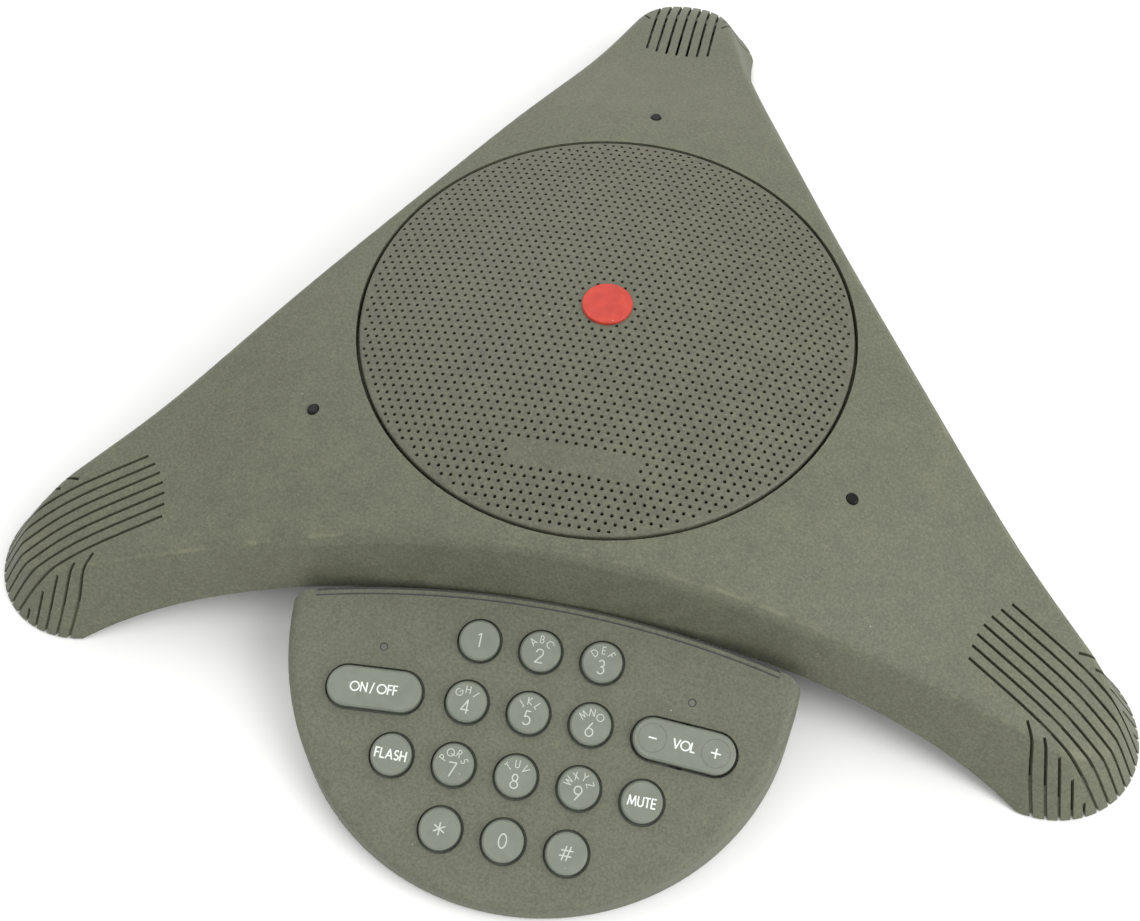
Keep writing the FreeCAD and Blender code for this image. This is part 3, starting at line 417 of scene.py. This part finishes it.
def dress_frame():
    """Gives every carried-over CAD node its material."""
    dust = rgb(122, 123, 101)
    housing = aged_plastic("housing_plastic", rgb(97, 99, 82), dust, rubbing_and_highlight=0.8)
    pad = aged_plastic("pad_plastic", rgb(101, 103, 88), dust, rubbing_and_highlight=0.25, mottle=0.8)
    base = aged_plastic("base_plastic", rgb(88, 89, 78), dust, rough=(0.6, 0.75))
    black_rubber = rubber("black_rubber", rgb(18, 18, 18))
    steel = metal("zinc_steel", rgb(176, 176, 172))
    board = circuit_board()
    lens = smoked_lens("lamp_window", rgb(18, 19, 17))
    led = smoked_lens("led_body", rgb(190, 200, 188))
    can = metal("aluminium_can", rgb(196, 198, 200), (0.25, 0.35))
    chip = painted("chip_epoxy", rgb(24, 24, 26), 0.55)
    jack = painted("jack_moulding", rgb(30, 30, 32), 0.45)
    keys = key_plastic()
    coats = {
        housing: ["top_housing"],
        pad: ["keypad_housing"],
        base: ["base_pan", "keypad_base"],
        black_rubber: ["rubber_foot_rear", "rubber_foot_left", "rubber_foot_right", "keypad_feet",
                       "speaker_gasket", "speaker_surround", "microphone_boots", "microphone_leads"],
        steel: ["housing_screws", "speaker_screws", "board_screws", "keypad_screws"],
        metal("blackened_steel", rgb(52, 52, 54), (0.45, 0.6)): ["volume_rocker_pin"],
        board: ["main_circuit_board", "keypad_circuit_board"],
        lens: LAMPS,
        painted("pilot_window", rgb(104, 106, 94), 0.5): ["keypad_light_pipes"],
        led: ["status_leds", "keypad_leds"],
        can: ["microphone_rear", "microphone_left", "microphone_right", "capacitors"],
        chip: ["processor_chips"],
        jack: ["line_jack"],
        keys: [name for name in NODES if name.startswith("key_")] + ["volume_rocker"],
        badge_enamel(): ["badge"],
        cloth("grille_cloth_black", rgb(20, 20, 20)): ["grille_cloth"],
        cloth("cone_paper", rgb(46, 45, 44), 0.9 * MM): ["speaker_cone", "speaker_dust_cap"],
        painted("basket_paint", rgb(30, 30, 31)): ["speaker_frame"],
        metal("ferrite", rgb(66, 66, 70), (0.45, 0.6)): ["speaker_magnet"],
        copper_winding(): ["speaker_voice_coil"],
        painted("transformer_varnish", rgb(96, 84, 60), 0.3): ["line_transformer"],
        metal("gold_contact", rgb(222, 178, 92), (0.2, 0.3)): ["line_jack_contacts"],
        rubber("membrane_silicone", rgb(150, 150, 142)): ["keypad_membrane"],
        ribbon_cable(): ["keypad_ribbon_cable"],
    }
    for material, names in coats.items():
        for name in names:
            slots = NODES[name].data.materials
            slots.clear()
            slots.append(material)


# ---- The dial pad's panel ----
class Panel:
    """The dial pad's sloping surface: u along +X, v up the slope, w out of it."""

    def __init__(self):
        press = next(j for j in frame["joints"] if j["child"] == "key_5")
        tilt = next(j for j in frame["joints"] if j["child"] == "volume_rocker")
        self.out = -Vector(press["axis"]).normalized()
        self.right = Vector((1, 0, 0))
        self.up = self.out.cross(self.right)
        axis = Vector(tilt["axis"])
        self.cant = math.atan2(axis.dot(self.right), axis.dot(self.up))
        self.height = max(w for u, v, w in self.corners("keypad_light_pipes")) + PILOT_SINK

    def corners(self, node):
        """The node's vertices, each as u, v, w."""
        axes = (self.right, self.up, self.out)
        return [tuple(vertex.co.dot(axis) for axis in axes) for vertex in NODES[node].data.vertices]

    def top_of(self, corners):
        """Middle of the top face that spans the corners, as u, v, w."""
        spans = [(min(c[k] for c in corners), max(c[k] for c in corners)) for k in range(3)]
        return (sum(spans[0]) / 2, sum(spans[1]) / 2, spans[2][1])

    def surface(self, x, y, rise):
        """The point of the panel over x and y, raised out of it."""
        z = (self.height - x * self.out.x - y * self.out.y) / self.out.z
        return Vector((x, y, z)) + self.out * rise

    def matrix(self, u, v, w, turn=0.0):
        basis = Matrix((self.right, self.up, self.out)).transposed().to_4x4()
        return basis @ Matrix.Translation((u, v, w)) @ Matrix.Rotation(turn, 4, "Z")


# ---- Lines ----
def arc(x, y, rx, ry, start, end, steps=14):
    """Points along an arc of an ellipse, from start to end in degrees."""
    angles = [math.radians(start + (end - start) * k / steps) for k in range(steps + 1)]
    return [(x + rx * math.cos(a), y + ry * math.sin(a)) for a in angles]


def turned(strokes, angle, u, v):
    """The strokes turned by angle and then moved to u, v."""
    c, s = math.cos(angle), math.sin(angle)
    return [[(u + c * x - s * y, v + s * x + c * y) for x, y in line] for line in strokes]


def smooth_runs(line):
    """Splits a stroke at its sharp corners, so that each run bends smoothly."""
    points = [Vector(line[0])]
    for place in line[1:]:
        if (Vector(place) - points[-1]).length > POINT_GAP:
            points.append(Vector(place))
    runs = [[points[0]]]
    for before, here, after in zip(points, points[1:], points[2:]):
        runs[-1].append(here)
        if (here - before).angle(after - here) > SHARP_TURN:
            runs.append([here])
    runs[-1].append(points[-1])
    return runs


def with_longer_ends(run, length):
    """The run with each end drawn out by length, so that runs meeting at a corner close it."""
    start = run[0] + (run[0] - run[1]).normalized() * length
    end = run[-1] + (run[-1] - run[-2]).normalized() * length
    return [start] + run[1:-1] + [end]


def line_mesh(name, strokes, thickness):
    """A mesh of round lines drawn along strokes in the XY plane."""
    curve = bpy.data.curves.new(name + "_line", "CURVE")
    curve.dimensions = "3D"
    curve.bevel_depth = thickness / 2
    curve.bevel_resolution = LINE_ROUNDING
    curve.use_fill_caps = True
    for line in strokes:
        runs = smooth_runs(line)
        closed = len(runs) == 1 and (runs[0][0] - runs[0][-1]).length < CLOSING_GAP
        for run in runs:
            kept = run[:-1] if closed else with_longer_ends(run, END_STRETCH * thickness)
            spline = curve.splines.new("POLY")
            spline.points.add(len(kept) - 1)
            spline.use_cyclic_u = closed
            for point, place in zip(spline.points, kept):
                point.co = (place.x, place.y, 0, 1)
    drawn = bpy.data.objects.new(name + "_line", curve)
    data = bpy.data.meshes.new_from_object(drawn)
    bpy.data.objects.remove(drawn)
    data.shade_smooth()
    return data


# ---- Pieces ----
def place_piece(mesh, name, material, body):
    """Adds a mesh to the scene as a named piece that rides on a body."""
    piece = bpy.data.objects.new(name, mesh)
    bpy.context.scene.collection.objects.link(piece)
    mesh.materials.clear()
    mesh.materials.append(material)
    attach(piece, body)
    return piece


def circle_points(x, y, radius, sides):
    angles = [2 * math.pi * k / sides for k in range(sides)]
    return [(x + radius * math.cos(a), y + radius * math.sin(a)) for a in angles]


def hole_centres(badge_radius):
    """Hexagonal lattice of the grille's holes, clear of the badge and of the blank name band."""
    row_step = GRILLE_PITCH * math.sqrt(3) / 2
    rows = int(GRILLE_FIELD_RADIUS / row_step)
    columns = int(GRILLE_FIELD_RADIUS / GRILLE_PITCH) + 1
    centres = []
    for row in range(-rows, rows + 1):
        for column in range(-columns, columns + 1):
            x = (column + 0.5 * (row % 2)) * GRILLE_PITCH
            y = row * row_step
            blank = abs(x) < BLANK_HALF[0] and abs(y - BLANK_CENTRE_Y) < BLANK_HALF[1]
            if badge_radius < math.hypot(x, y) < GRILLE_FIELD_RADIUS and not blank:
                centres.append((x, y))
    return centres


def punched_disc(field, centres):
    """Triangles of a flat disc with its holes left out: points, faces, and the rim's and the holes' loops."""
    points = circle_points(0, 0, field, LIP_SIDES)
    loops = [list(range(LIP_SIDES))]
    for x, y in centres:
        loops.append(list(range(len(points), len(points) + HOLE_SIDES)))
        points.extend(circle_points(x, y, GRILLE_HOLE_RADIUS, HOLE_SIDES))
    edges = [(loop[k], loop[(k + 1) % len(loop)]) for loop in loops for k in range(len(loop))]
    result = delaunay_2d_cdt([Vector(p) for p in points], edges, [], INSIDE_TRIANGLES, POINT_GAP)
    flat, _, faces, origins = result[:4]
    hole_of = {k: number for number, loop in enumerate(loops[1:]) for k in loop}
    owner = [next((hole_of[k] for k in sources if k in hole_of), None) for sources in origins]
    kept = []
    for face in faces:
        owners = {owner[k] for k in face}
        if len(owners) > 1 or None in owners:
            kept.append(face)
    place = {source: k for k, sources in enumerate(origins) for source in sources}
    return flat, kept, [[place[k] for k in loop] for loop in loops]


def lip_profile(field, radius, edge_z):
    """Radius and height of each ring over the rounded lip and down the skirt."""
    angles = [math.radians(90 / LIP_STEPS * step) for step in range(1, LIP_STEPS + 1)]
    lip = [(field + GRILLE_LIP * math.sin(a), edge_z - GRILLE_LIP * (1 - math.cos(a))) for a in angles]
    return lip + [(radius, edge_z - GRILLE_SKIRT), (radius - GRILLE_SHEET, edge_z - GRILLE_SKIRT)]


def make_grille():
    """The loudspeaker's grille: a domed sheet with real holes, a rounded lip and a skirt."""
    low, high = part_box("speaker_grille")
    centre = (low + high) / 2
    radius = (high.x - low.x) / 2 - GRILLE_SHRINK
    badge_low, badge_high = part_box("badge")
    centres = hole_centres((badge_high.x - badge_low.x) / 2 + GRILLE_HOLE_RADIUS)
    field = radius - GRILLE_LIP
    flat, faces, (rim, *holes) = punched_disc(field, centres)

    def crown(x, y):
        return high.z - GRILLE_RISE * (x * x + y * y) / GRILLE_RIM_RADIUS ** 2

    mesh = bmesh.new()
    top = [mesh.verts.new((centre.x + p.x, centre.y + p.y, crown(p.x, p.y))) for p in flat]
    under = [mesh.verts.new(v.co - Vector((0, 0, GRILLE_SHEET))) for v in top]
    for face in faces:
        mesh.faces.new([top[k] for k in face]).smooth = True
        mesh.faces.new([under[k] for k in reversed(face)]).smooth = True
    for hole in holes:
        for first, second in zip(hole, hole[1:] + hole[:1]):
            mesh.faces.new((top[first], under[first], under[second], top[second])).smooth = True
    previous = [top[k] for k in rim]
    for ring_radius, z in lip_profile(field, radius, crown(field, 0)):
        circle = circle_points(0, 0, ring_radius, LIP_SIDES)
        ring = [mesh.verts.new((centre.x + x, centre.y + y, z)) for x, y in circle]
        stitch(mesh, previous, ring)
        previous = ring
    stitch(mesh, previous, [under[k] for k in rim])
    mesh.normal_update()
    for edge in mesh.edges:
        edge.smooth = edge.calc_face_angle(0) < GRILLE_CREASE
    data = bpy.data.meshes.new("grille_screen")
    mesh.to_mesh(data)
    mesh.free()
    coat = aged_plastic("grille_plastic", rgb(93, 94, 79), rgb(122, 120, 98), rough=(0.45, 0.6), mottle=0.9)
    piece = place_piece(data, "grille_screen", coat, "console")
    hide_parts("speaker_grille")


def stitch(mesh, outer, inner):
    """Joins two rings of vertices with a band of smooth faces."""
    count = len(outer)
    for k in range(count):
        following = (k + 1) % count
        mesh.faces.new((outer[k], inner[k], inner[following], outer[following])).smooth = True


def arched_strip(name, near, far, low, high, material, panel):
    """A closed strip along the dial pad's back edge; near and far are distances in from that edge."""
    chamfer = RIB_CHAMFER * (high - low)
    section = [(near, low), (far, low), (far, high - chamfer), (far - chamfer, high)]
    section += [(near + chamfer, high), (near, high - chamfer)]
    mesh = bmesh.new()
    rings = []
    for k in range(RIB_STEPS + 1):
        x = RIB_HALF_SPAN * (2 * k / RIB_STEPS - 1)
        edge = PAD_BACK_Y - PAD_BACK_RADIUS + math.sqrt(PAD_BACK_RADIUS ** 2 - x * x)
        rings.append([mesh.verts.new(panel.surface(x, edge - away, rise)) for away, rise in section])
    for ring, following in zip(rings, rings[1:]):
        for first in range(len(ring)):
            second = (first + 1) % len(ring)
            mesh.faces.new((ring[first], following[first], following[second], ring[second]))
    mesh.faces.new(rings[0])
    mesh.faces.new(reversed(rings[-1]))
    bmesh.ops.recalc_face_normals(mesh, faces=mesh.faces)
    data = bpy.data.meshes.new(name)
    mesh.to_mesh(data)
    mesh.free()
    place_piece(data, name, material, "console")


def make_pad_rib(panel):
    """The low rib along the dial pad's back edge, on a thin black strip that is painted shade at the wall's foot.
    """
    plastic = bpy.data.materials["pad_plastic"]
    black = bpy.data.materials["black_rubber"]
    rib_end = RIB_GAP + RIB_WIDTH
    shade_strip_end = rib_end + SHADE_STRIP_OVERLAP
    arched_strip("pad_back_rib", RIB_GAP, rib_end, -RIB_SINK, RIB_HEIGHT, plastic, panel)
    # Thin black strip of painted shade under the rib and in front of it
    arched_strip("pad_back_shade_strip", 0.0, shade_strip_end, -RIB_SINK, SHADE_STRIP_HEIGHT, black, panel)


def make_pilot_shade_rings(panel):
    """Dark rings of painted shade round the dial pad's two pilot windows."""
    black = bpy.data.materials["black_rubber"]
    circle = arc(0, 0, PILOT_SHADE_RING_RADIUS, PILOT_SHADE_RING_RADIUS, 0, 360, PILOT_SHADE_RING_STEPS)
    corners = panel.corners("keypad_light_pipes")
    for name, side in (("left", -1), ("right", 1)):
        window = [c for c in corners if c[0] * side > 0]
        data = line_mesh("pilot_shade_ring_" + name, [circle], 2 * PILOT_SHADE_RING_WIRE)
        data.transform(panel.matrix(*panel.top_of(window)))
        place_piece(data, "pilot_shade_ring_" + name, black, "console")


# ---- Legends ----
def spoke(degrees):
    """One stroke through the middle of the star."""
    angle = math.radians(degrees)
    x, y = 0.36 * math.cos(angle), 0.36 * math.sin(angle)
    return [(0.3 - x, 0.5 - y), (0.3 + x, 0.5 + y)]


# Geometric single-line capitals and digits, one unit high. Each glyph is its width and its strokes.
GLYPHS = {
    "A": (0.72, [[(0, 0), (0.36, 1), (0.72, 0)], [(0.13, 0.32), (0.59, 0.32)]]),
    "B": (0.48, [[(0, 0), (0, 1)] + arc(0.2, 0.76, 0.22, 0.24, 90, -90) + [(0, 0.52)],
                 [(0, 0.52)] + arc(0.22, 0.26, 0.26, 0.26, 90, -90) + [(0, 0)]]),
    "C": (0.85, [arc(0.5, 0.5, 0.5, 0.5, 48, 312)]),
    "D": (0.68, [[(0, 0), (0, 1)] + arc(0.18, 0.5, 0.5, 0.5, 90, -90) + [(0, 0)]]),
    "E": (0.42, [[(0.42, 1), (0, 1), (0, 0), (0.42, 0)], [(0, 0.52), (0.4, 0.52)]]),
    "F": (0.40, [[(0.4, 1), (0, 1), (0, 0)], [(0, 0.52), (0.38, 0.52)]]),
    "G": (0.98, [arc(0.5, 0.5, 0.5, 0.5, 46, 357) + [(0.55, 0.48)]]),
    "H": (0.60, [[(0, 0), (0, 1)], [(0.6, 0), (0.6, 1)], [(0, 0.52), (0.6, 0.52)]]),
    "I": (0.0, [[(0, 0), (0, 1)]]),
    "J": (0.25, [[(0.25, 1)] + arc(0.07, 0.14, 0.18, 0.18, 0, -110)]),
    "K": (0.54, [[(0, 0), (0, 1)], [(0.5, 1), (0, 0.44), (0.54, 0)]]),
    "L": (0.40, [[(0, 1), (0, 0), (0.4, 0)]]),
    "M": (0.88, [[(0, 0), (0.13, 1), (0.44, 0.12), (0.75, 1), (0.88, 0)]]),
    "N": (0.66, [[(0, 0), (0, 1), (0.66, 0), (0.66, 1)]]),
    "O": (1.00, [arc(0.5, 0.5, 0.5, 0.5, 90, 450, 24)]),
    "P": (0.46, [[(0, 0), (0, 1)] + arc(0.2, 0.74, 0.26, 0.26, 90, -90) + [(0, 0.48)]]),
    "Q": (1.00, [arc(0.5, 0.5, 0.5, 0.5, 90, 450, 24), [(0.56, 0.32), (0.98, -0.05)]]),
    "R": (0.50, [[(0, 0), (0, 1)] + arc(0.2, 0.74, 0.26, 0.26, 90, -90) + [(0, 0.48)],
                 [(0.2, 0.48), (0.5, 0)]]),
    "S": (0.46, [arc(0.23, 0.75, 0.2, 0.25, 40, 270) + arc(0.23, 0.25, 0.23, 0.25, 90, -140)]),
    "T": (0.50, [[(0, 1), (0.5, 1)], [(0.25, 1), (0.25, 0)]]),
    "U": (0.56, [[(0, 1)] + arc(0.28, 0.28, 0.28, 0.28, 180, 360) + [(0.56, 1)]]),
    "V": (0.68, [[(0, 1), (0.34, 0), (0.68, 1)]]),
    "W": (1.04, [[(0, 1), (0.27, 0), (0.52, 0.95), (0.77, 0), (1.04, 1)]]),
    "X": (0.56, [[(0, 0), (0.56, 1)], [(0, 1), (0.56, 0)]]),
    "Y": (0.60, [[(0, 1), (0.3, 0.5), (0.6, 1)], [(0.3, 0.5), (0.3, 0)]]),
    "Z": (0.52, [[(0, 1), (0.52, 1), (0, 0), (0.52, 0)]]),
    "0": (0.56, [arc(0.28, 0.5, 0.28, 0.5, 90, 450, 24)]),
    "1": (0.18, [[(0, 0.88), (0.18, 1), (0.18, 0)]]),
    "2": (0.54, [arc(0.27, 0.73, 0.26, 0.27, 170, -32) + [(0, 0), (0.54, 0)]]),
    "3": (0.50, [arc(0.24, 0.76, 0.21, 0.24, 145, -90) + arc(0.24, 0.26, 0.26, 0.26, 90, -145)]),
    "4": (0.56, [[(0.42, 0), (0.42, 1), (0, 0.25), (0.56, 0.25)]]),
    "5": (0.52, [[(0.47, 1), (0.14, 1)] + arc(0.23, 0.31, 0.28, 0.31, 125, -140)]),
    "6": (0.56, [arc(0.28, 0.29, 0.28, 0.29, 90, 450, 24), [(0.42, 1), (0.05, 0.44)]]),
    "7": (0.54, [[(0, 1), (0.54, 1), (0.14, 0)]]),
    "8": (0.54, [arc(0.27, 0.76, 0.2, 0.24, 270, 630, 24), arc(0.27, 0.26, 0.27, 0.26, 90, 450, 24)]),
    "9": (0.56, [arc(0.28, 0.71, 0.28, 0.29, 90, 450, 24), [(0.14, 0), (0.51, 0.56)]]),
    "*": (0.60, [spoke(90), spoke(30), spoke(150)]),
    "#": (0.76, [[(0.16, 0.1), (0.34, 0.9)], [(0.42, 0.1), (0.6, 0.9)],
                 [(0, 0.34), (0.68, 0.34)], [(0.08, 0.66), (0.76, 0.66)]]),
    "/": (0.34, [[(0, -0.1), (0.34, 1.08)]]),
    "-": (0.80, [[(0, 0.5), (0.8, 0.5)]]),
    "+": (1.00, [[(0, 0.5), (1.0, 0.5)], [(0.5, 0), (0.5, 1.0)]]),
    " ": (0.0, []),
}


def word_strokes(text, height, gap=LETTER_GAP):
    """The strokes of a word about its own middle, in metres."""
    width = sum(GLYPHS[c][0] for c in text) + gap * (len(text) - 1)
    x = -width / 2
    strokes = []
    for c in text:
        advance, lines = GLYPHS[c]
        strokes.extend([[((x + px) * height, (py - 0.5) * height) for px, py in line] for line in lines])
        x += advance + gap
    return strokes


def print_strokes(name, strokes, thickness, node, material, panel, turn=0.0):
    """Raises strokes off a key's top as flattened round lines, and lets them ride on that key."""
    data = line_mesh(name, strokes, thickness)
    flatten = Matrix.Diagonal((1, 1, PRINT_FLATTEN, 1))
    u, v, w = panel.top_of(panel.corners(node))
    data.transform(panel.matrix(u, v, w + PRINT_LIFT, turn) @ flatten)
    body = next(b for b, members in frame["record"]["behaviour"]["bodies"].items() if node in members)
    return place_piece(data, name, material, body)


def letter_strokes(letters):
    """A dialling key's letters, on an arc over its digit."""
    strokes = []
    for k, letter in enumerate(letters):
        angle = ((len(letters) - 1) / 2 - k) * LETTER_TURNS[len(letters)]
        u, v = -LETTER_RADIUS * math.sin(angle), LETTER_RADIUS * math.cos(angle)
        strokes.extend(turned(word_strokes(letter, LETTER_HEIGHT), angle, u, v))
    return strokes


def make_dial_legends(panel, ink):
    """The digits, letters and signs of the twelve dialling keys."""
    for node, text in LEGENDS.items():
        letters = LETTERS.get(text, "")
        drop = DIGIT_DROP if letters else 0.0
        height = SIGN_HEIGHT if text in "*#" else DIGIT_HEIGHT
        strokes = turned(word_strokes(text, height), 0, 0, -drop)
        print_strokes("legend_" + node, strokes, DIGIT_STROKE, node, ink, panel)
        if letters:
            print_strokes("letters_" + node, letter_strokes(letters), LETTER_STROKE, node, ink, panel)


def make_word_legends(panel, ink):
    """The words on the other keys, and the signs beside the volume key's word."""
    texts = ("FLASH", "MUTE", "ON / OFF")
    flash, mute, on_off = (word_strokes(text, WORD_HEIGHT, WORD_GAP) for text in texts)
    print_strokes("legend_key_flash", flash, WORD_STROKE, "key_flash", ink, panel)
    print_strokes("legend_key_mute", mute, WORD_STROKE, "key_mute", ink, panel)
    print_strokes("legend_key_on_off", on_off, WORD_STROKE, "key_on_off", ink, panel, panel.cant)
    words = word_strokes("VOL", WORD_HEIGHT, VOLUME_GAP)
    words += turned(word_strokes("-", WORD_HEIGHT), 0, -ROCKER_RING_OFFSET, 0)
    words += turned(word_strokes("+", WORD_HEIGHT), 0, ROCKER_RING_OFFSET, 0)
    print_strokes("legend_volume_rocker", words, WORD_STROKE, "volume_rocker", ink, panel, -panel.cant)


def make_legends(panel):
    """Everything printed on the keys, and the two rings on the volume key."""
    ink = print_ink("white_print", rgb(232, 238, 230))
    rubbed_ink = print_ink("rubbed_print", rgb(190, 197, 184))
    line = groove_shade_ink()
    make_dial_legends(panel, rubbed_ink)
    make_word_legends(panel, ink)
    rings = [arc(side * ROCKER_RING_OFFSET, 0, ROCKER_RING_RADIUS, ROCKER_RING_RADIUS, 0, 360, RING_STEPS)
             for side in (-1, 1)]
    print_strokes("rings_volume_rocker", rings, RING_STROKE, "volume_rocker", line, panel, -panel.cant)


# ---- Stage ----
def make_stage():
    """A pale table top and soft studio light."""
    mesh = bpy.data.meshes.new("table_top")
    corners = [(x * TABLE_HALF, y * TABLE_HALF, 0) for x, y in ((-1, -1), (1, -1), (1, 1), (-1, 1))]
    mesh.from_pydata(corners, [], [(0, 1, 2, 3)])
    floor = bpy.data.objects.new("table_top", mesh)
    bpy.context.scene.collection.objects.link(floor)
    shader = Shader("white_table", Roughness=0.6, Specular_IOR_Level=0.2)
    shader.colour(shader.mix(shader.noise(0.2), rgb(246, 247, 245), rgb(249, 249, 248)))
    mesh.materials.append(shader.material)

    world = bpy.data.worlds.new("studio")
    world.use_nodes = True
    background = world.node_tree.nodes["Background"]
    background.inputs["Color"].default_value = (1.0, 1.0, 1.0, 1.0)
    background.inputs["Strength"].default_value = WORLD_STRENGTH
    bpy.context.scene.world = world
    for name, (location, size, energy) in LIGHTS.items():
        add_light(name, location, size, energy)


def add_light(name, location, size, energy):
    """A square area light aimed at the origin."""
    light = bpy.data.lights.new(name, "AREA")
    light.size = size
    light.energy = energy
    lamp = bpy.data.objects.new(name, light)
    bpy.context.scene.collection.objects.link(lamp)
    lamp.location = location
    lamp.rotation_mode = "QUATERNION"
    lamp.rotation_quaternion = (-Vector(location)).to_track_quat("-Z", "Y")


def make_camera():
    """The view from in front and above, a little to the right."""
    data = bpy.data.cameras.new("camera")
    data.lens = CAMERA_LENS
    data.sensor_width = CAMERA_SENSOR
    camera = bpy.data.objects.new("camera", data)
    bpy.context.scene.collection.objects.link(camera)
    camera.location = CAMERA_PLACE
    level = math.cos(CAMERA_ELEVATION)
    forward = Vector((
        -math.sin(CAMERA_AZIMUTH) * level,
        math.cos(CAMERA_AZIMUTH) * level,
        -math.sin(CAMERA_ELEVATION),
    ))
    roll = Matrix.Rotation(CAMERA_ROLL, 3, "Z").to_quaternion()
    camera.rotation_mode = "QUATERNION"
    camera.rotation_quaternion = forward.to_track_quat("-Z", "Y") @ roll
    bpy.context.scene.camera = camera


bpy.context.scene.view_settings.view_transform = "Standard"
dress_frame()
make_grille()
dial_panel = Panel()
make_legends(dial_panel)
make_pad_rib(dial_panel)
make_pilot_shade_rings(dial_panel)
make_stage()
make_camera()
